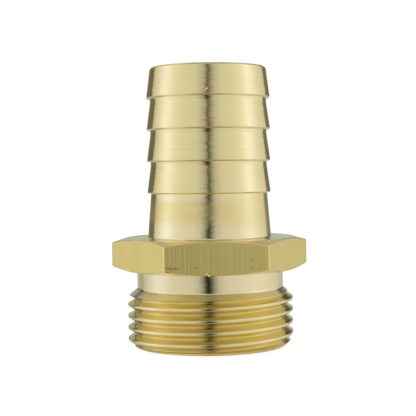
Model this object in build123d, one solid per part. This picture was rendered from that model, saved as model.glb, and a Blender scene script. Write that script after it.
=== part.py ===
from build123d import *

import math
import os

# Brass hose barb tail, in millimetres, +Z up: the threaded end stands on the ground plane and the hose spigot
# points up. The origin is the centre of the threaded end face. Two corners of the hexagon lie on the X axis.

# Hexagon for the spanner
hex_across_flats = 27.0
hex_thickness = 5.05
hex_corner_radius = 0.3
hex_chamfer_inset = 0.15
hex_chamfer_angle = 17.0

# Male pipe thread below the hexagon: parallel, right-handed, 3/4 inch nominal, 14 turns to the inch
pipe_thread_diameter = 26.441
thread_pitch = 25.4 / 14
thread_flank_angle = 27.5
thread_crest_flattening = 0.09
thread_start_angle = 124.0
end_face_below_thread = 0.07
end_chamfer_angle = 45.0

# Plain neck between the thread and the hexagon
stem_length = 12.1
neck_length = 2.93
neck_below_thread = 0.46
shoulder_angle = 50.0

# Hose spigot above the hexagon: a plain cone, the barbs and the lead-in cone of the last barb
spigot_base_length = 7.0
spigot_diameter = 18.46
spigot_wall = 1.48
barb_count = 4
barb_pitch = 4.98
barb_height = 0.58
barb_edge_break = 0.18
tip_length = 4.91
rim_chamfer = 0.25
bore_chamfer = 0.5

# Thread form of a 55 degree pipe thread, as shares of its pitch
FORM_DEPTH = 0.640327
FORM_ROUNDING = 0.137329

# Radii and heights worked out from the sizes above
thread_root_radius = pipe_thread_diameter / 2 - FORM_DEPTH * thread_pitch
thread_crest_radius = pipe_thread_diameter / 2 - thread_crest_flattening
end_face_radius = thread_root_radius - end_face_below_thread
neck_radius = thread_root_radius - neck_below_thread
spigot_radius = spigot_diameter / 2
barb_edge_radius = spigot_radius + barb_height
bore_radius = spigot_radius - spigot_wall
neck_bottom_z = stem_length - neck_length
hex_top_z = stem_length + hex_thickness
first_barb_z = hex_top_z + spigot_base_length
spigot_top_z = first_barb_z + (barb_count - 1) * barb_pitch + tip_length


def turned(*points):
    """Solid of revolution about the Z axis from the corners of its half section, as (radius, height)."""
    return revolve(make_face(Plane.XZ * Polyline(*points, close=True)), Axis.Z)


def spigot():
    """Neck and hose spigot in one turned piece, from the thread's shoulder up to the rim."""
    hex_middle_z = stem_length + hex_thickness / 2
    corners = [
        (0, neck_bottom_z),
        (neck_radius, neck_bottom_z),
        (neck_radius, hex_middle_z),
        (barb_edge_radius, hex_middle_z),
        (barb_edge_radius, hex_top_z),
    ]
    for number in range(barb_count):
        barb_z = first_barb_z + number * barb_pitch
        corners += [
            (spigot_radius, barb_z),
            (barb_edge_radius - barb_edge_break, barb_z),
            (barb_edge_radius, barb_z + barb_edge_break),
        ]
    corners += [
        (spigot_radius, spigot_top_z - rim_chamfer),
        (spigot_radius - rim_chamfer, spigot_top_z),
        (0, spigot_top_z),
    ]
    return turned(*corners)


def hexagon():
    """Hexagon with rounded corners, chamfered at both ends by a turned cone."""
    prism = extrude(RegularPolygon(hex_across_flats / 2, 6, major_radius=False), hex_thickness)
    prism = fillet(prism.edges().filter_by(Axis.Z), hex_corner_radius)
    ring_radius = hex_across_flats / 2 - hex_chamfer_inset
    reach = hex_across_flats * 0.75
    rise = (reach - ring_radius) * math.tan(math.radians(hex_chamfer_angle))
    cones = turned(
        (0, 0),
        (ring_radius, 0),
        (reach, rise),
        (reach, hex_thickness - rise),
        (ring_radius, hex_thickness),
        (0, hex_thickness),
    )
    return Pos(0, 0, stem_length) * (prism & cones)


def thread():
    """Threaded end: a rod with a helical groove cut in it, then turned down to its end chamfer and shoulder."""
    # The groove has the depth and the width of the full form at the crest, and runs to a point at the root
    flank = math.radians(thread_flank_angle)
    sharp_root_radius = thread_root_radius - FORM_ROUNDING * thread_pitch * (1 / math.sin(flank) - 1)
    groove_depth = thread_crest_radius - thread_root_radius
    groove_half = (thread_crest_radius - sharp_root_radius) * math.tan(flank)
    mouth_radius = thread_crest_radius + groove_depth / 4
    mouth_half = groove_half * (mouth_radius - thread_root_radius) / groove_depth
    section = make_face(
        Plane.XZ
        * Polyline((thread_root_radius, 0), (mouth_radius, -mouth_half), (mouth_radius, mouth_half), close=True)
    )
    turns = math.ceil(neck_bottom_z / thread_pitch) + 3
    groove = sweep(section, Helix(thread_pitch, turns * thread_pitch, thread_root_radius), is_frenet=True)
    groove = Pos(0, 0, -1.5 * thread_pitch) * Rot(0, 0, thread_start_angle - 180) * groove
    rod_length = (turns + 2) * thread_pitch
    rod = Pos(0, 0, rod_length / 2 - 2.5 * thread_pitch) * Cylinder(thread_crest_radius, rod_length)

    clear_radius = thread_crest_radius + thread_pitch
    end_chamfer_z = (clear_radius - end_face_radius) / math.tan(math.radians(end_chamfer_angle))
    shoulder_z = neck_bottom_z - (clear_radius - neck_radius) / math.tan(math.radians(shoulder_angle))
    ends = turned(
        (0, 0),
        (end_face_radius, 0),
        (clear_radius, end_chamfer_z),
        (clear_radius, shoulder_z),
        (neck_radius, neck_bottom_z),
        (0, neck_bottom_z),
    )
    return (rod - groove) & ends


def bore():
    """The through bore, with a chamfer at each end."""
    mouth_radius = bore_radius + bore_chamfer
    return turned(
        (0, 0),
        (mouth_radius, 0),
        (bore_radius, bore_chamfer),
        (bore_radius, spigot_top_z - bore_chamfer),
        (mouth_radius, spigot_top_z),
        (0, spigot_top_z),
    )


hose_tail = thread() + spigot() + hexagon() - bore()
hose_tail.label = "hose_tail"

os.makedirs("parts", exist_ok=True)
export_step(hose_tail, "parts/hose_tail.step")
print("hose_tail: solids", len(hose_tail.solids()), "volume", round(hose_tail.volume, 2), "mm3")
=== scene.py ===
import math

import bmesh
import bpy
import numpy as np
from mathutils import Matrix, Vector


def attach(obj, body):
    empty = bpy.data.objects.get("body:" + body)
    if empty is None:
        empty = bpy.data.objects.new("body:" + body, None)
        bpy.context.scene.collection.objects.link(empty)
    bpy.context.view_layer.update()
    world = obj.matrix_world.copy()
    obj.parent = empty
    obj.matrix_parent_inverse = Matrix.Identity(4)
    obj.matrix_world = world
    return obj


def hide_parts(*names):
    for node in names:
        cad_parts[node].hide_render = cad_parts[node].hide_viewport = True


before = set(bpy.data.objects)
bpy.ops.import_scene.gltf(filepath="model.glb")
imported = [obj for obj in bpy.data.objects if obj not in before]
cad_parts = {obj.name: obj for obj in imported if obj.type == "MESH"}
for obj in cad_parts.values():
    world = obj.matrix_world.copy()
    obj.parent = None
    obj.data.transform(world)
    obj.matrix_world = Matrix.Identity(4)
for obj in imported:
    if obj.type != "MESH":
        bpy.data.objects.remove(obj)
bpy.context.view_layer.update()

# Sizes are in millimetres in the CAD's frame until they go into a mesh, a texture or onto the camera
MM = 0.001
NODE = "hose_tail"
BODY = "root"

# Sizes of the part's source that the detailed mesh repeats
hex_sides = 6
hex_across_flats = 27.0
hex_thickness = 5.05
hex_corner_radius = 0.3
hex_chamfer_inset = 0.15
hex_chamfer_angle = math.radians(17)
pipe_thread_diameter = 26.441
thread_pitch = 25.4 / 14
thread_depth_share = 0.640327
thread_crest_flattening = 0.09
thread_groove_half = 0.709
thread_start_angle = math.radians(124)
end_face_below_thread = 0.07
end_chamfer_slope = 1.0
stem_length = 12.1
neck_length = 2.93
neck_below_thread = 0.46
shoulder_slope = math.tan(math.radians(50))
spigot_base_length = 7.0
spigot_radius = 9.23
spigot_wall = 1.48
barb_count = 4
barb_pitch = 4.98
barb_height = 0.58
barb_edge_break = 0.18
tip_length = 4.91
rim_chamfer = 0.25
bore_chamfer = 0.5

# Small forms that the source leaves out: the groove's rounded root, the edges and the barbs' lands
thread_root_rounding = 0.12
crest_edge = 0.05
fine_edge = 0.04
hex_edge = 0.12
step_root = 0.06
barb_land = 0.62
land_edge = 0.15
shoulder_join = 0.2
shoulder_root = 0.18
base_flare = 0.3

# The chip of metal on the hexagon's lower edge, from its start on the flat to its free end
burr_start = (-1.54, -13.38, 12.44)
burr_end = (-0.98, -13.38, 11.97)
burr_radius = 0.12
# Along the chip its radius follows the sine of a half turn, from one share of that turn to another
burr_taper = (0.12, 0.88)
burr_steps = 8
burr_sides = 8

# How finely the mesh follows all this
corner_columns = 7
flat_columns = 57
edge_steps = 4
crest_steps = 3
root_steps = 4
flank_shares = (0.35, 0.7)
thread_turns = range(-1, 6)
merge_distance = 0.0015
sliver_distance = 0.00015
sharp_angle = math.radians(34)

# Radii, heights and angles worked out from the sizes above
thread_root_radius = pipe_thread_diameter / 2 - thread_depth_share * thread_pitch
thread_crest_radius = pipe_thread_diameter / 2 - thread_crest_flattening
end_face_radius = thread_root_radius - end_face_below_thread
neck_radius = thread_root_radius - neck_below_thread
barb_edge_radius = spigot_radius + barb_height
bore_radius = spigot_radius - spigot_wall
mouth_radius = bore_radius + bore_chamfer
neck_bottom_z = stem_length - neck_length
thread_top_z = neck_bottom_z - shoulder_join
hex_bottom_z = stem_length
hex_top_z = stem_length + hex_thickness
barb_heights = [hex_top_z + spigot_base_length + number * barb_pitch for number in range(barb_count)]
spigot_top_z = barb_heights[-1] + tip_length
side_angle = 2 * math.pi / hex_sides
corner_centre = (hex_across_flats / 2 - hex_corner_radius) / math.cos(side_angle / 2)
corner_angle = math.atan2(
    hex_corner_radius * math.sin(side_angle / 2),
    corner_centre + hex_corner_radius * math.cos(side_angle / 2),
)

# The finishes' places in the mesh's list of materials
TURNED, FACED, DRAWN, THREAD, NECK, SHOULDER = range(6)


def column_angles():
    """Angles of the mesh's columns, closer together at the hexagon's corners. The last repeats the first."""
    corner = np.linspace(-corner_angle, corner_angle, corner_columns)
    flat = np.linspace(corner_angle, side_angle - corner_angle, flat_columns + 2)[1:-1]
    side = np.concatenate([corner, flat])
    angles = np.concatenate([side_angle * number + side for number in range(hex_sides)])
    return np.append(angles, angles[0] + 2 * math.pi)


def hexagon_radius(angle):
    """Distance from the axis to the rounded outline of the hexagon."""
    off_corner = np.abs((angle + side_angle / 2) % side_angle - side_angle / 2)
    flat = hex_across_flats / 2 / np.cos(side_angle / 2 - off_corner)
    reach = np.minimum(corner_centre * np.sin(off_corner), hex_corner_radius)
    corner = corner_centre * np.cos(off_corner) + np.sqrt(hex_corner_radius**2 - reach**2)
    return np.where(off_corner < corner_angle, corner, flat)


def rounded(before, corner, after, edge, steps):
    """Points that round off a corner over an edge's length to both sides. A point is radius + height * 1j."""
    start = corner - (corner - before) / np.abs(corner - before) * edge
    end = corner + (after - corner) / np.abs(after - corner) * edge
    shares = [step / steps for step in range(steps + 1)]
    return [(1 - t) ** 2 * start + 2 * t * (1 - t) * corner + t**2 * end for t in shares]


def profile_rows(corners, angles):
    """Rows of the mesh along a profile. A corner is radius, height, rounding and the finish after it."""
    points = [radius + height * 1j + 0 * angles for radius, height, edge, finish in corners]
    rows = []
    for number, (radius, height, edge, finish) in enumerate(corners):
        if edge:
            around = rounded(points[number - 1], points[number], points[number + 1], edge, edge_steps)
            rows += [(point, finish) for point in around]
        else:
            rows.append((points[number], finish))
    return rows


def tooth_outline():
    """Thread form over one pitch as (offset, radius) points: a rounded root, two flanks and a flat crest."""
    # Points of the half section are offset + radius * 1j. The flank touches the root's arc
    centre = complex(0, thread_root_radius + thread_root_rounding)
    corner = complex(thread_groove_half, thread_crest_radius)
    reach = corner - centre
    flank = math.acos(thread_root_rounding / abs(reach)) - math.atan2(reach.imag, reach.real)
    half = []
    for share in np.linspace(0, 1, root_steps + 1):
        turn = -math.pi / 2 + (math.pi / 2 - flank) * share
        half.append(centre + thread_root_rounding * complex(math.cos(turn), math.sin(turn)))
    tangent = half[-1]
    half += [tangent + (corner - tangent) * share for share in flank_shares]
    middle = complex(thread_pitch / 2, thread_crest_radius)
    half += rounded(half[-1], corner, middle, crest_edge, crest_steps) + [middle]
    both = [-point.conjugate() for point in half[:0:-1]] + half
    return [(point.real, point.imag) for point in both]


def turned_down(height):
    """Radius of the end chamfer and the shoulder, which cut the thread off at its two ends."""
    chamfer = end_face_radius + height * end_chamfer_slope
    shoulder = neck_radius + (neck_bottom_z - height) * shoulder_slope
    return np.minimum(chamfer, shoulder)


def thread_rows(angles):
    """Rows that climb with the thread. Each has a second one above it, for the edge where a cone cuts it."""
    outline = tooth_outline()
    rows = []
    for turn in thread_turns:
        middle = thread_pitch * ((angles - thread_start_angle) / (2 * math.pi) + turn)
        for (low, low_radius), (high, high_radius) in zip(outline, outline[1:]):
            bottom = np.clip(middle + low, 0, thread_top_z)
            top = np.clip(middle + high, 0, thread_top_z)
            slope = (high_radius - low_radius) / (high - low)
            bottom_spare = low_radius + (bottom - middle - low) * slope - turned_down(bottom)
            top_spare = low_radius + (top - middle - low) * slope - turned_down(top)
            crossed = bottom_spare * top_spare < 0
            share = np.where(crossed, bottom_spare / np.where(crossed, bottom_spare - top_spare, 1), 0)
            for height in (bottom, bottom + share * (top - bottom)):
                # Outside the thread's ends the flank's line is held at the root
                radius = np.maximum(low_radius + (height - middle - low) * slope, thread_root_radius)
                rows.append((np.minimum(radius, turned_down(height)) + height * 1j, THREAD))
    return rows


def all_rows(angles):
    """Rows of the whole section, once round: end face, thread, neck, hexagon, spigot, rim and bore."""
    outline = hexagon_radius(angles)
    ring = hex_across_flats / 2 - hex_chamfer_inset
    rise = (outline - ring) * math.tan(hex_chamfer_angle)
    end_face = [
        (bore_radius, bore_chamfer, 0, FACED),
        (mouth_radius, 0, fine_edge, FACED),
        (end_face_radius - fine_edge, 0, 0, FACED),
    ]
    corners = [
        (turned_down(thread_top_z), thread_top_z, 0, SHOULDER),
        (neck_radius, neck_bottom_z, shoulder_root, NECK),
        (neck_radius, hex_bottom_z, step_root, FACED),
        (ring, hex_bottom_z, fine_edge, FACED),
        (outline, hex_bottom_z + rise, hex_edge, DRAWN),
        (outline, hex_top_z - rise, hex_edge, FACED),
        (ring, hex_top_z, fine_edge, FACED),
        (barb_edge_radius, hex_top_z, base_flare, TURNED),
    ]
    for height in barb_heights:
        if height > barb_heights[0]:
            corners.append((spigot_radius, height - barb_land, land_edge, TURNED))
        corners += [
            (spigot_radius, height, step_root, FACED),
            (barb_edge_radius - barb_edge_break, height, fine_edge, TURNED),
            (barb_edge_radius, height + barb_edge_break, fine_edge, TURNED),
        ]
    corners += [
        (spigot_radius, spigot_top_z - rim_chamfer, fine_edge, TURNED),
        (spigot_radius - rim_chamfer, spigot_top_z, fine_edge, FACED),
        (mouth_radius, spigot_top_z, fine_edge, FACED),
        (bore_radius, spigot_top_z - bore_chamfer, fine_edge, FACED),
        (bore_radius, bore_chamfer, 0, FACED),
    ]
    return profile_rows(end_face, angles) + thread_rows(angles) + profile_rows(corners, angles)


def face_finishes(points, finishes):
    """Finish of each face. Among the thread's faces, its crests and its shoulder are turned, not cut."""
    # The end chamfer below the thread's middle keeps the thread's own finish
    radius, height = points.real, points.imag
    on_crest = radius > thread_crest_radius - merge_distance
    on_shoulder = (np.abs(radius - turned_down(height)) < merge_distance) & (height > neck_bottom_z / 2)
    table = np.repeat(finishes[:-1, None], points.shape[1] - 1, axis=1)
    for turned, finish in ((on_crest, FACED), (on_shoulder, SHOULDER)):
        whole = turned[:-1, :-1] & turned[1:, :-1] & turned[:-1, 1:] & turned[1:, 1:]
        table = np.where((table == THREAD) & whole, finish, table)
    return table


def add_burr(work):
    """Adds the small chip of metal on the lower edge of the hexagon's front flat."""
    start, end = Vector(burr_start), Vector(burr_end)
    across = (end - start).cross(Vector((0, 1, 0))).normalized()
    rings = []
    for step in range(burr_steps + 1):
        share = step / burr_steps
        radius = burr_radius * math.sin(math.pi * np.interp(share, (0, 1), burr_taper))
        ring = []
        for side in range(burr_sides):
            around = 2 * math.pi * side / burr_sides
            offset = across * math.cos(around) + Vector((0, math.sin(around), 0))
            ring.append(work.verts.new((start.lerp(end, share) + offset * radius) * MM))
        rings.append(ring)
    for first, second in zip(rings, rings[1:]):
        for side in range(burr_sides):
            corners = (first[side], first[side - 1], second[side - 1], second[side])
            work.faces.new(corners).material_index = NECK
    for ring in (rings[0][::-1], rings[-1]):
        work.faces.new(ring).material_index = NECK


def build_fitting():
    """The whole fitting as one closed mesh, ring by ring."""
    angles = column_angles()
    rows = all_rows(angles)
    points = np.array([point for point, finish in rows])
    finishes = np.array([finish for point, finish in rows])
    across = points.real
    vertices = np.stack([across * np.cos(angles), across * np.sin(angles), points.imag], axis=-1)
    row_count, column_count = points.shape
    first = np.arange(row_count - 1)[:, None] * column_count + np.arange(column_count - 1)[None, :]
    quads = np.stack([first, first + 1, first + column_count + 1, first + column_count], axis=-1)
    mesh = bpy.data.meshes.new("fitting")
    mesh.from_pydata((vertices.reshape(-1, 3) * MM).tolist(), [], quads.reshape(-1, 4).tolist())
    mesh.polygons.foreach_set("material_index", face_finishes(points, finishes).ravel().astype(np.int32))
    work = bmesh.new()
    work.from_mesh(mesh)
    bmesh.ops.remove_doubles(work, verts=work.verts, dist=merge_distance * MM)
    bmesh.ops.dissolve_degenerate(work, edges=work.edges, dist=sliver_distance * MM)
    add_burr(work)
    bmesh.ops.recalc_face_normals(work, faces=work.faces)
    work.to_mesh(mesh)
    work.free()
    mesh.shade_smooth()
    mesh.set_sharp_from_angle(angle=sharp_angle)
    fitting = bpy.data.objects.new("fitting", mesh)
    bpy.context.scene.collection.objects.link(fitting)
    weighted = fitting.modifiers.new("weighted", "WEIGHTED_NORMAL")
    weighted.keep_sharp = True
    return fitting


def link(tree, value, socket):
    """Gives an input socket a value: another socket is linked to it, and a number or vector is set on it."""
    if isinstance(value, bpy.types.NodeSocket):
        tree.links.new(value, socket)
    else:
        socket.default_value = value


def math_node(tree, operation, *values):
    """A Math node with sockets or numbers as its inputs."""
    node = tree.nodes.new("ShaderNodeMath")
    node.operation = operation
    for socket, value in zip(node.inputs, values):
        link(tree, value, socket)
    return node.outputs[0]


def add(tree, first, second):
    """Sum of two values."""
    return math_node(tree, "ADD", first, second)


def subtract(tree, first, second):
    """First value less the second."""
    return math_node(tree, "SUBTRACT", first, second)


def multiply(tree, first, second):
    """Product of two values."""
    return math_node(tree, "MULTIPLY", first, second)


def multiply_add(tree, value, factor, rest):
    """Value times factor, plus the rest."""
    return math_node(tree, "MULTIPLY_ADD", value, factor, rest)


def vector_node(tree, operation, *values):
    """A Vector Math node with sockets, vectors or a scale as its inputs."""
    node = tree.nodes.new("ShaderNodeVectorMath")
    node.operation = operation
    sockets = [node.inputs[0], node.inputs["Scale"]] if operation == "SCALE" else node.inputs
    for socket, value in zip(sockets, values):
        link(tree, value, socket)
    return node.outputs["Value"] if operation == "LENGTH" else node.outputs[0]


def axes_of(tree, vector):
    """The three parts of a vector."""
    split = tree.nodes.new("ShaderNodeSeparateXYZ")
    tree.links.new(vector, split.inputs[0])
    return split.outputs


def step_node(tree, value, start, end):
    """A smooth rise from 0 to 1 between two values."""
    node = tree.nodes.new("ShaderNodeMapRange")
    node.interpolation_type = "SMOOTHSTEP"
    node.inputs["From Min"].default_value = start
    node.inputs["From Max"].default_value = end
    tree.links.new(value, node.inputs["Value"])
    return node.outputs["Result"]


def ramp_node(tree, value, stops):
    """A Color Ramp from (position, colour) stops."""
    node = tree.nodes.new("ShaderNodeValToRGB")
    elements = node.color_ramp.elements
    while len(elements) < len(stops):
        elements.new(0.5)
    for element, (position, colour) in zip(elements, stops):
        element.position = position
        element.color = (*colour, 1)
    tree.links.new(value, node.inputs["Fac"])
    return node.outputs["Color"]


def mix_node(tree, share, first, second):
    """A blend of two colours by a share. Either colour is a socket or three numbers."""
    node = tree.nodes.new("ShaderNodeMixRGB")
    tree.links.new(share, node.inputs["Fac"])
    for name, colour in (("Color1", first), ("Color2", second)):
        link(tree, (*colour, 1) if isinstance(colour, tuple) else colour, node.inputs[name])
    return node.outputs["Color"]


def noise_node(tree, scale, detail, roughness):
    """A noise texture that has no coordinates yet."""
    node = tree.nodes.new("ShaderNodeTexNoise")
    node.inputs["Scale"].default_value = scale
    node.inputs["Detail"].default_value = detail
    node.inputs["Roughness"].default_value = roughness
    return node


def line_noise(tree, along, scale, detail, roughness):
    """Noise over one number, as its scale per metre."""
    node = noise_node(tree, scale, detail, roughness)
    node.noise_dimensions = "1D"
    tree.links.new(along, node.inputs["W"])
    return node.outputs["Fac"]


def cloud_noise(tree, place, scale, detail, roughness):
    """Noise over the object's coordinates, the same along each axis."""
    node = noise_node(tree, scale, detail, roughness)
    tree.links.new(place, node.inputs["Vector"])
    return node.outputs["Fac"]


def streak_noise(tree, place, scales, detail=3.0, roughness=0.6):
    """Noise with a scale per axis: a low one draws it out along that axis."""
    stretched = tree.nodes.new("ShaderNodeMapping")
    stretched.inputs["Scale"].default_value = scales
    tree.links.new(place, stretched.inputs["Vector"])
    return cloud_noise(tree, stretched.outputs[0], 1.0, detail, roughness)


def bump_node(tree, height, distance, normal=None):
    """The normal that a height gives, in shares of a distance in millimetres."""
    node = tree.nodes.new("ShaderNodeBump")
    node.inputs["Strength"].default_value = 1.0
    node.inputs["Distance"].default_value = distance * MM
    tree.links.new(height, node.inputs["Height"])
    if normal is not None:
        tree.links.new(normal, node.inputs["Normal"])
    return node.outputs[0]


# Marks on the surface as (centre, half size along each axis, turn about Y). The front flat is at y = -13.5
NICKS = [
    ((-1.0, -9.6, 39.95), (0.45, 0.6, 0.12), math.radians(-31)),
    ((-1.78, -9.5, 40.5), (0.25, 0.6, 0.07), math.radians(-35)),
]
# Painted shade in the nicks: a dark colour round the first nick, where its dent shows dark
NICK_SHADE = [((-1.16, -9.59, 40.04), (0.45, 0.6, 0.13), math.radians(-27))]
STAINS_AND_BURR_SHADOW = [
    ((-7.1, -13.5, 13.32), (0.75, 0.6, 0.22), math.radians(6)),
    ((-6.15, -13.5, 13.26), (0.6, 0.6, 0.2), math.radians(-4)),
    ((-7.25, -13.5, 12.78), (0.35, 0.6, 0.16)),
    ((5.21, -13.2, 14.44), (0.45, 0.6, 0.75)),
    ((5.2, -13.2, 13.21), (0.45, 0.6, 0.6)),
    ((-3.1, -13.2, 13.4), (0.5, 0.6, 0.35)),
    # Painted shadow of the burr on the front flat, above its free end
    ((-1.13, -13.5, 12.52), (0.25, 0.6, 0.16)),
]
SCRAPES = [((-1.37, -13.5, 12.3), (0.42, 0.6, 0.14), math.radians(40))]
# Where the drawn streaks are deeper: a little on the whole front flat, and more at its left
RIBBED = [
    ((0.0, -13.0, 14.6), (40.0, 1.0, 40.0)),
    ((-7.2, -13.5, 14.9), (4.5, 1.5, 8.0)),
]
NICK_DEPTH = 0.09
NICK_SHADE_STRENGTH = 2.0
SCRAPE_HEIGHT = 0.12
RIB_STRENGTH = 2.0
# Colour of the stains, also used for the burr's painted shadow and the painted shade in the nicks
STAIN_AND_SHADE_COLOUR = (0.5, 0.38, 0.15)
# What a stain, and the burr's painted shadow, keeps of its strength where the brass has none of its own
# darker patches
STAIN_AND_SHADOW_EVENNESS = 0.3

# Tarnish on the spigot's base: a belt, with the heights from none to full at its foot and at its head
BELT_FOOT = (18.7, 20.5)
BELT_HEAD = (23.8, 22.4)
BASE_TOP = (24.3, 24.2)
BELT_COLOUR = (0.89, 0.75, 0.35)
BARE_COLOUR = (0.91, 0.81, 0.485)
BELT_DULLNESS = 0.16
# How far the belt's foot wanders for its noise, and the range of noise over which clouds thin the belt
BELT_RUNS = 3.0
CLOUD_RANGE = (0.15, 0.5)
# To the right of the middle the belt grows wider, and it and the bare metal grow more alike
BELT_SPREAD = 0.13
BELT_FADE = 0.07
BELT_MIDDLE = 0.6

# Noise scales per metre, along each axis or one for all
TOOL_LINES = (260, 260, 6500)
TARNISH_RUNS = (650, 650, 20)
TARNISH_CLOUDS = 330
TURNED_PATCHES = 260
DRAWN_STREAKS = (2600, 2600, 60)
DRAWN_SHEEN = (420, 420, 25)
DRAWN_PATCHES = 420

# The lathe's lines draw a highlight out across them, and lines that are finer still change the roughness
ANISOTROPY = 0.8
ANISOTROPY_TURN = 0.25
FINE_LINE_RATIO = 6

# A finish's colour: the share of its lines or streaks and of its patches, and the stops of its ramp
TURNED_SHARES = (0.7, 0.3)
TURNED_STOPS = (0.3, 0.7)
DRAWN_SHARES = (0.6, 0.4)
DRAWN_STOPS = (0.0, 0.33, 0.67)
# The drawn skin: its streaks' depth, the patches' part in them, its roughness and what the sheen adds
DRAWN_DEPTH = 0.008
DRAWN_GRIT = 0.35
DRAWN_ROUGHNESS = 0.24
DRAWN_SPREAD = 0.2


def blot(tree, place, centre, half_sizes, turn=0.0):
    """A spot on the surface, turned about Y: 1 at its centre, falling to 0 at its half size on each axis."""
    node = tree.nodes.new("ShaderNodeMapping")
    node.vector_type = "TEXTURE"
    node.inputs["Location"].default_value = Vector(centre) * MM
    node.inputs["Rotation"].default_value = (0, turn, 0)
    node.inputs["Scale"].default_value = Vector(half_sizes) * MM
    tree.links.new(place, node.inputs["Vector"])
    distance = vector_node(tree, "LENGTH", node.outputs[0])
    return math_node(tree, "MAXIMUM", subtract(tree, 1.0, distance), 0.0)


def blots(tree, place, spots):
    """All of several spots in one value."""
    total = 0.0
    for spot in spots:
        total = add(tree, total, blot(tree, place, *spot))
    return total


def shader(name):
    """A new metal material, its node tree, its shader and its object coordinates."""
    material = bpy.data.materials.new(name)
    material.use_nodes = True
    tree = material.node_tree
    surface = tree.nodes["Principled BSDF"]
    surface.inputs["Metallic"].default_value = 1.0
    place = tree.nodes.new("ShaderNodeTexCoord")
    return material, tree, surface, place.outputs["Object"]


def along_profile(tree, place):
    """Height plus distance from the axis, in metres. Lines over it run round the piece on walls and faces."""
    x, y, z = axes_of(tree, place)
    squares = add(tree, math_node(tree, "POWER", x, 2.0), math_node(tree, "POWER", y, 2.0))
    return add(tree, z, math_node(tree, "SQRT", squares))


def wandering_normal(tree, place, lean):
    """The surface's normal, which leans a little to the side, differently from one tool line to the next."""
    around = vector_node(tree, "NORMALIZE", vector_node(tree, "CROSS_PRODUCT", (0, 0, 1), place))
    lines = streak_noise(tree, place, TOOL_LINES, detail=2.0)
    sideways = vector_node(tree, "SCALE", around, multiply(tree, subtract(tree, lines, 0.5), lean))
    geometry = tree.nodes.new("ShaderNodeNewGeometry")
    return vector_node(tree, "NORMALIZE", vector_node(tree, "ADD", geometry.outputs["Normal"], sideways))


def lathe_surface(tree, surface, place, roughness, spread, line_depth, line_scale, lean):
    """Fine lines of the lathe and a highlight drawn out across them. Returns the lines and the roughness."""
    profile = along_profile(tree, place)
    lines = line_noise(tree, profile, line_scale, detail=3.0, roughness=0.7)
    fine = line_noise(tree, profile, line_scale * FINE_LINE_RATIO, detail=1.0, roughness=0.5)
    rough = multiply_add(tree, fine, spread, roughness - spread / 2)
    tree.links.new(rough, surface.inputs["Roughness"])
    surface.inputs["Anisotropic"].default_value = ANISOTROPY
    surface.inputs["Anisotropic Rotation"].default_value = ANISOTROPY_TURN
    tangent = tree.nodes.new("ShaderNodeTangent")
    tangent.direction_type = "RADIAL"
    tangent.axis = "Z"
    tree.links.new(tangent.outputs[0], surface.inputs["Tangent"])
    relief = add(tree, lines, multiply(tree, blots(tree, place, NICKS), -NICK_DEPTH / line_depth))
    normal = bump_node(tree, relief, line_depth, wandering_normal(tree, place, lean))
    tree.links.new(normal, surface.inputs["Normal"])
    return lines, rough


def tarnish(tree, place):
    """Share of tarnish on the spigot's base, in a belt that runs down in streaks, and a mask of the base."""
    x, y, z = axes_of(tree, place)
    right = math_node(tree, "MAXIMUM", x, 0.0)
    wider = multiply(tree, right, BELT_SPREAD)
    runs = subtract(tree, streak_noise(tree, place, TARNISH_RUNS), 0.5)
    lowered = multiply_add(tree, runs, BELT_RUNS * MM, z)
    foot, head, top = ([limit * MM for limit in pair] for pair in (BELT_FOOT, BELT_HEAD, BASE_TOP))
    rise = step_node(tree, add(tree, lowered, wider), *foot)
    fall = step_node(tree, subtract(tree, z, wider), *head)
    clouds = cloud_noise(tree, place, TARNISH_CLOUDS, detail=2.0, roughness=0.6)
    depth = multiply(tree, step_node(tree, clouds, *CLOUD_RANGE), fall)
    belt = multiply(tree, rise, depth)
    missing = subtract(tree, BELT_MIDDLE, belt)
    evened = multiply_add(tree, missing, multiply(tree, right, BELT_FADE / MM), belt)
    return evened, step_node(tree, z, *top)


def turned_brass(name, colour, worn, roughness, spread, line_depth, line_scale, lean, belt=False):
    """Brass from the lathe, with slight tarnish."""
    material, tree, surface, place = shader(name)
    lines, rough = lathe_surface(tree, surface, place, roughness, spread, line_depth, line_scale, lean)
    patches = cloud_noise(tree, place, TURNED_PATCHES, detail=3.0, roughness=0.55)
    line_share, patch_share = TURNED_SHARES
    tone = add(tree, multiply(tree, lines, line_share), multiply(tree, patches, patch_share))
    brass = ramp_node(tree, tone, list(zip(TURNED_STOPS, (worn, colour))))
    if belt:
        dull, on_base = tarnish(tree, place)
        # Painted shade in the nicks: their dent is darkened towards the stain colour
        nick_shade = multiply(tree, blots(tree, place, NICK_SHADE), NICK_SHADE_STRENGTH)
        brass = mix_node(tree, math_node(tree, "MINIMUM", nick_shade, 1.0), brass, STAIN_AND_SHADE_COLOUR)
        brass = mix_node(tree, on_base, brass, mix_node(tree, dull, BARE_COLOUR, BELT_COLOUR))
        dulled = multiply_add(tree, multiply(tree, dull, on_base), BELT_DULLNESS, rough)
        tree.links.new(dulled, surface.inputs["Roughness"])
    tree.links.new(brass, surface.inputs["Base Color"])
    return material


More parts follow.
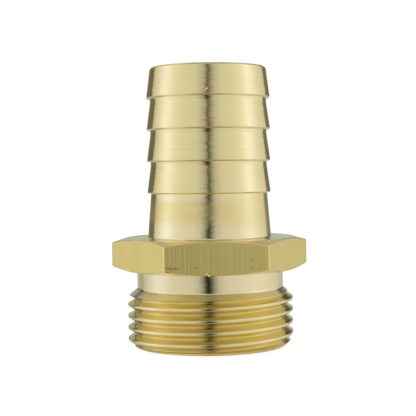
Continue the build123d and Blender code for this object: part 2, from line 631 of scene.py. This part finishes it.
def drawn_brass(name, colour, worn):
    """The bar's own drawn skin on the hexagon: streaks along the axis, rougher and deeper in colour."""
    material, tree, surface, place = shader(name)
    streaks = streak_noise(tree, place, DRAWN_STREAKS)
    sheen = streak_noise(tree, place, DRAWN_SHEEN)
    patches = cloud_noise(tree, place, DRAWN_PATCHES, detail=4.0, roughness=0.65)
    streak_share, patch_share = DRAWN_SHARES
    tone = add(tree, multiply(tree, streaks, streak_share), multiply(tree, patches, patch_share))
    # Stains, and the burr's painted shadow, pull the colour towards the stain colour
    marks = multiply(tree, blots(tree, place, STAINS_AND_BURR_SHADOW), add(tree, patches, STAIN_AND_SHADOW_EVENNESS))
    stops = list(zip(DRAWN_STOPS, (STAIN_AND_SHADE_COLOUR, worn, colour)))
    tree.links.new(ramp_node(tree, subtract(tree, tone, marks), stops), surface.inputs["Base Color"])
    tree.links.new(multiply_add(tree, sheen, DRAWN_SPREAD, DRAWN_ROUGHNESS), surface.inputs["Roughness"])
    ribbed = multiply_add(tree, blots(tree, place, RIBBED), RIB_STRENGTH, 1.0)
    relief = multiply_add(tree, patches, DRAWN_GRIT, multiply(tree, streaks, ribbed))
    relief = multiply_add(tree, blots(tree, place, SCRAPES), SCRAPE_HEIGHT / DRAWN_DEPTH, relief)
    tree.links.new(bump_node(tree, relief, DRAWN_DEPTH), surface.inputs["Normal"])
    return material


def brass_finishes():
    """The finishes of the one piece of brass, in the order of their places. Depths are in millimetres."""
    return [
        turned_brass(
            "brass_turned",
            colour=(0.91, 0.80, 0.44),
            worn=(0.87, 0.75, 0.38),
            roughness=0.11,
            spread=0.08,
            line_depth=0.002,
            line_scale=3000,
            lean=0.1,
            belt=True,
        ),
        turned_brass(
            "brass_faced",
            colour=(0.89, 0.775, 0.43),
            worn=(0.86, 0.74, 0.38),
            roughness=0.2,
            spread=0.1,
            line_depth=0.003,
            line_scale=3500,
            lean=0.05,
        ),
        drawn_brass("brass_drawn", colour=(0.92, 0.77, 0.295), worn=(0.85, 0.69, 0.235)),
        # The thread's roughness and lines are the cut thread's own; its deeper gold is painted light,
        # standing in for light bounced between the flanks
        turned_brass(
            "brass_thread",
            colour=(0.85, 0.715, 0.345),
            worn=(0.815, 0.665, 0.29),
            roughness=0.12,
            spread=0.06,
            line_depth=0.003,
            line_scale=5000,
            lean=0.05,
        ),
        turned_brass(
            "brass_neck",
            colour=(0.91, 0.81, 0.50),
            worn=(0.87, 0.77, 0.45),
            roughness=0.08,
            spread=0.05,
            line_depth=0.002,
            line_scale=3000,
            lean=0.1,
        ),
        turned_brass(
            "brass_shoulder",
            colour=(0.88, 0.81, 0.62),
            worn=(0.85, 0.77, 0.56),
            roughness=0.26,
            spread=0.1,
            line_depth=0.004,
            line_scale=4000,
            lean=0.05,
        ),
    ]


# Camera: fitted to the photo's edges. Its turn is measured from straight in front of the hexagon's flat
camera_distance = 173.045
camera_height = 27.357
camera_focal_px = 1085.62
camera_pitch = 0.0325
camera_roll = -0.0128
camera_yaw = -0.0012
camera_turn = 0.0746
camera_clip_m = (0.01, 10.0)
image_px = 416
sensor_mm = 36.0


def add_camera():
    """The photo's viewpoint."""
    pitch = Matrix.Rotation(math.pi / 2 - camera_pitch, 3, "X")
    yaw = Matrix.Rotation(-camera_yaw, 3, "Z")
    turn = Matrix.Rotation(-camera_turn, 3, "Z")
    roll = Matrix.Rotation(camera_roll, 3, "Z")
    data = bpy.data.cameras.new("camera")
    data.sensor_width = sensor_mm
    data.lens = camera_focal_px / image_px * sensor_mm
    data.clip_start, data.clip_end = camera_clip_m
    camera = bpy.data.objects.new("camera", data)
    place = turn @ Vector((0, -camera_distance * MM, camera_height * MM))
    camera.matrix_world = Matrix.Translation(place) @ (turn @ yaw @ pitch @ roll).to_4x4()
    bpy.context.scene.collection.objects.link(camera)
    bpy.context.scene.camera = camera


# Light from each azimuth as (azimuth, brightness, tint), in degrees from the camera, positive to its right
NEUTRAL = (1.0, 1.0, 1.0)
PANEL = (1.0, 1.02, 1.22)
PANEL_END = (1.0, 0.96, 0.92)
BOARD = (1.0, 0.96, 0.84)
BROWN = (1.0, 0.88, 0.66)
PAPER = (1.0, 1.04, 0.99)
LAMP_EDGE = (1.0, 1.06, 1.04)
DAY = (1.0, 1.01, 1.05)
CEILING = (1.0, 0.97, 0.8)
GROUND = (1.0, 0.97, 0.84)
WALL = (1.0, 1.13, 0.94)
WARM = (1.0, 0.88, 0.68)
# The panels and the camera's gap, as the barbs' slopes see them
LAMP_LIGHT = [
    (-127, 0.55, NEUTRAL),
    (-118, 0.71, NEUTRAL),
    (-108, 0.84, NEUTRAL),
    (-92, 1.04, PANEL),
    (-82, 1.03, PANEL),
    (-68, 0.88, NEUTRAL),
    (-52, 0.79, NEUTRAL),
    (-22, 0.71, NEUTRAL),
    (-10, 0.52, NEUTRAL),
    (-4.5, 0.35, NEUTRAL),
    (-1.5, 0.13, BOARD),
    (0.5, 0.13, BOARD),
    (6.5, 0.36, NEUTRAL),
    (12, 0.55, NEUTRAL),
    (24, 0.71, NEUTRAL),
    (52, 0.79, NEUTRAL),
    (66, 0.90, NEUTRAL),
    (82, 1.10, PANEL),
    (94, 1.0, PANEL),
    (108, 0.84, NEUTRAL),
    (125, 0.73, NEUTRAL),
    (134.5, 0.62, NEUTRAL),
]
UNDER_LIGHT = [
    (-180, 0.45, GROUND),
    (-138, 0.62, GROUND),
    (-118, 0.84, GROUND),
    (-60, 0.55, GROUND),
    (0, 0.34, GROUND),
    (60, 0.55, GROUND),
    (116, 0.78, GROUND),
    (138, 0.60, GROUND),
    (180, 0.45, GROUND),
]
LOW_LIGHT = [
    (-180, 0.49, PAPER),
    (-158, 0.48, PAPER),
    (-145, 0.45, PAPER),
    (-132, 0.41, PAPER),
    (-129, 0.57, PANEL_END),
    (-112, 0.74, NEUTRAL),
    (-94, 0.90, PANEL),
    (-80, 0.88, PANEL),
    (-62, 0.75, NEUTRAL),
    (-28, 0.68, NEUTRAL),
    (-17, 0.54, LAMP_EDGE),
    (-9.5, 0.24, LAMP_EDGE),
    (-6, 0.06, BOARD),
    (-3, 0.02, BOARD),
    (-0.5, 0.04, BOARD),
    (2.5, 0.12, LAMP_EDGE),
    (8, 0.36, LAMP_EDGE),
    (14, 0.58, NEUTRAL),
    (28, 0.71, NEUTRAL),
    (68, 0.83, NEUTRAL),
    (88, 0.83, DAY),
    (112, 0.77, NEUTRAL),
    (131, 0.68, NEUTRAL),
    (139, 0.61, NEUTRAL),
    (144, 0.54, PAPER),
    (180, 0.54, PAPER),
]
LEVEL_LIGHT = [
    (-180, 0.47, WALL),
    (-167, 0.45, WALL),
    (-161, 0.185, BROWN),
    (-130, 0.175, BROWN),
    (-126.5, 0.58, PANEL_END),
    (-118, 0.73, PANEL_END),
    (-108, 0.85, NEUTRAL),
    (-92, 1.02, PANEL),
    (-82, 1.0, PANEL),
    (-68, 0.86, NEUTRAL),
    (-52, 0.76, NEUTRAL),
    (-28, 0.71, NEUTRAL),
    (-16, 0.58, NEUTRAL),
    (-8, 0.30, LAMP_EDGE),
    (-4, 0.05, BOARD),
    (0.5, 0.05, BOARD),
    (5.5, 0.28, LAMP_EDGE),
    (11, 0.54, NEUTRAL),
    (24, 0.70, NEUTRAL),
    (52, 0.78, NEUTRAL),
    (76, 0.98, PANEL),
    (90, 0.98, PANEL),
    (108, 0.84, NEUTRAL),
    (125, 0.75, NEUTRAL),
    (134.5, 0.66, NEUTRAL),
    (138.5, 0.21, BROWN),
    (162, 0.18, BROWN),
    (166, 0.52, WALL),
    (180, 0.47, WALL),
]
SLOPE_LIGHT = [
    (-180, 0.47, WALL),
    (-156, 0.38, WALL),
    (-152, 0.18, BROWN),
    (-130.5, 0.18, BROWN),
    *LAMP_LIGHT,
    (138.5, 0.21, BROWN),
    (163, 0.18, BROWN),
    (167, 0.50, WALL),
    (180, 0.48, WALL),
]
BANK_LIGHT = [
    (-180, 0.47, WALL),
    (-159, 0.43, WALL),
    (-155.5, 0.07, BOARD),
    (-145, 0.07, BOARD),
    (-141, 0.36, WARM),
    (-131, 0.45, WARM),
    *LAMP_LIGHT,
    (138.5, 0.08, BOARD),
    (164, 0.08, BOARD),
    (168, 0.50, WALL),
    (180, 0.48, WALL),
]
HIGH_LIGHT = [
    (-180, 0.50, WARM),
    (-174, 0.68, WARM),
    (-166, 0.62, WARM),
    (-158, 0.44, WARM),
    (-142, 0.63, NEUTRAL),
    (-126, 0.72, NEUTRAL),
    (-110, 0.76, NEUTRAL),
    (-88, 0.85, NEUTRAL),
    (-40, 0.70, NEUTRAL),
    (0, 0.60, NEUTRAL),
    (40, 0.70, NEUTRAL),
    (88, 0.85, NEUTRAL),
    (110, 0.72, NEUTRAL),
    (134, 0.55, NEUTRAL),
    (158, 0.41, WARM),
    (166, 0.51, WARM),
    (174, 0.61, WARM),
    (180, 0.50, WARM),
]
TOP_LIGHT = [(-180, 0.41, CEILING), (180, 0.41, CEILING)]
# Bands from below to above, and the sines of the elevations between which one gives way to the next
BANDS = [UNDER_LIGHT, LOW_LIGHT, LEVEL_LIGHT, SLOPE_LIGHT, BANK_LIGHT, HIGH_LIGHT, TOP_LIGHT]
BAND_EDGES = [(-0.72, -0.6), (-0.075, -0.02), (0.13, 0.18), (0.28, 0.33), (0.4, 0.47), (0.85, 0.97)]


def band_node(tree, share, band):
    """The light of one band at a share of the full turn, which starts right behind the object."""
    stops = [(0.5 + turn / 360, tuple(level * part for part in tint)) for turn, level, tint in band]
    return ramp_node(tree, share, stops)


def add_studio():
    """A light tent as the world: panels at the sides, boards and paper behind. The camera sees it white."""
    world = bpy.data.worlds.new("studio")
    bpy.context.scene.world = world
    world.use_nodes = True
    tree = world.node_tree
    tree.nodes.clear()
    place = tree.nodes.new("ShaderNodeTexCoord")
    turned = tree.nodes.new("ShaderNodeMapping")
    turned.inputs["Rotation"].default_value = (0, 0, camera_turn + math.pi / 2)
    tree.links.new(place.outputs["Generated"], turned.inputs["Vector"])
    ahead, across, up = axes_of(tree, turned.outputs[0])
    share = multiply_add(tree, math_node(tree, "ARCTAN2", across, ahead), 1 / (2 * math.pi), 0.5)
    bands = [band_node(tree, share, band) for band in BANDS]
    light = bands[0]
    for band, (start, end) in zip(bands[1:], BAND_EDGES):
        light = mix_node(tree, step_node(tree, up, start, end), light, band)
    tent = tree.nodes.new("ShaderNodeBackground")
    tree.links.new(light, tent.inputs["Color"])
    white = tree.nodes.new("ShaderNodeBackground")
    white.inputs["Color"].default_value = (1, 1, 1, 1)
    path = tree.nodes.new("ShaderNodeLightPath")
    mix = tree.nodes.new("ShaderNodeMixShader")
    tree.links.new(path.outputs["Is Camera Ray"], mix.inputs["Fac"])
    tree.links.new(tent.outputs[0], mix.inputs[1])
    tree.links.new(white.outputs[0], mix.inputs[2])
    output = tree.nodes.new("ShaderNodeOutputWorld")
    tree.links.new(mix.outputs[0], output.inputs["Surface"])


# Floor: half its side in metres, its grey and the glow that makes it white to the camera
floor_reach_m = 3.0
floor_drop = 0.01
floor_grey = 0.28
floor_glow = 0.87
# The ring of floor round the foot that the brass sees: its glow, and the radii where it ends or is full
FOOT_GLOW = (0.35, 0.29, 0.18)
foot_ring_inner = 12.2
foot_ring_full = 12.4
foot_ring_outer = 17.0


def floor_light(tree, path):
    """The floor's paper, with a glow that whitens it for the camera and a warm one for the brass."""
    paper = tree.nodes.new("ShaderNodeBsdfDiffuse")
    paper.inputs["Color"].default_value = (floor_grey, floor_grey, floor_grey, 1)
    glow = tree.nodes.new("ShaderNodeEmission")
    tree.links.new(multiply(tree, path.outputs["Is Camera Ray"], floor_glow), glow.inputs["Strength"])
    warmth = tree.nodes.new("ShaderNodeEmission")
    warmth.inputs["Color"].default_value = (*FOOT_GLOW, 1)
    tree.links.new(path.outputs["Is Glossy Ray"], warmth.inputs["Strength"])
    lit = paper.outputs[0]
    for light in (glow, warmth):
        both = tree.nodes.new("ShaderNodeAddShader")
        tree.links.new(lit, both.inputs[0])
        tree.links.new(light.outputs[0], both.inputs[1])
        lit = both.outputs[0]
    return lit


def floor_gaps(tree, path):
    """1 where the floor is open: to the brass outside a ring round the foot, and to all from below."""
    place = tree.nodes.new("ShaderNodeTexCoord")
    distance = vector_node(tree, "LENGTH", place.outputs["Object"])
    within = step_node(tree, distance, foot_ring_full * MM, foot_ring_inner * MM)
    beyond = step_node(tree, distance, foot_ring_full * MM, foot_ring_outer * MM)
    unseen = multiply(tree, path.outputs["Is Glossy Ray"], math_node(tree, "MAXIMUM", within, beyond))
    side = tree.nodes.new("ShaderNodeNewGeometry")
    return math_node(tree, "MAXIMUM", unseen, side.outputs["Backfacing"])


def add_floor():
    """A pale floor that is white to the camera away from the object, and keeps its shadow."""
    mesh = bpy.data.meshes.new("floor")
    corners = [(x * floor_reach_m, y * floor_reach_m, 0) for x, y in ((-1, -1), (1, -1), (1, 1), (-1, 1))]
    mesh.from_pydata(corners, [], [(0, 1, 2, 3)])
    floor = bpy.data.objects.new("floor", mesh)
    floor.location.z = -floor_drop * MM
    bpy.context.scene.collection.objects.link(floor)
    material = bpy.data.materials.new("floor")
    material.use_nodes = True
    tree = material.node_tree
    tree.nodes.clear()
    path = tree.nodes.new("ShaderNodeLightPath")
    mix = tree.nodes.new("ShaderNodeMixShader")
    tree.links.new(floor_gaps(tree, path), mix.inputs["Fac"])
    tree.links.new(floor_light(tree, path), mix.inputs[1])
    tree.links.new(tree.nodes.new("ShaderNodeBsdfTransparent").outputs[0], mix.inputs[2])
    output = tree.nodes.new("ShaderNodeOutputMaterial")
    tree.links.new(mix.outputs[0], output.inputs["Surface"])
    mesh.materials.append(material)


fitting = build_fitting()
for material in brass_finishes():
    fitting.data.materials.append(material)
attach(fitting, BODY)
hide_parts(NODE)

add_camera()
add_studio()
add_floor()
bpy.context.scene.view_settings.view_transform = "Standard"

print("triangles", sum(len(face.vertices) - 2 for face in fitting.data.polygons))
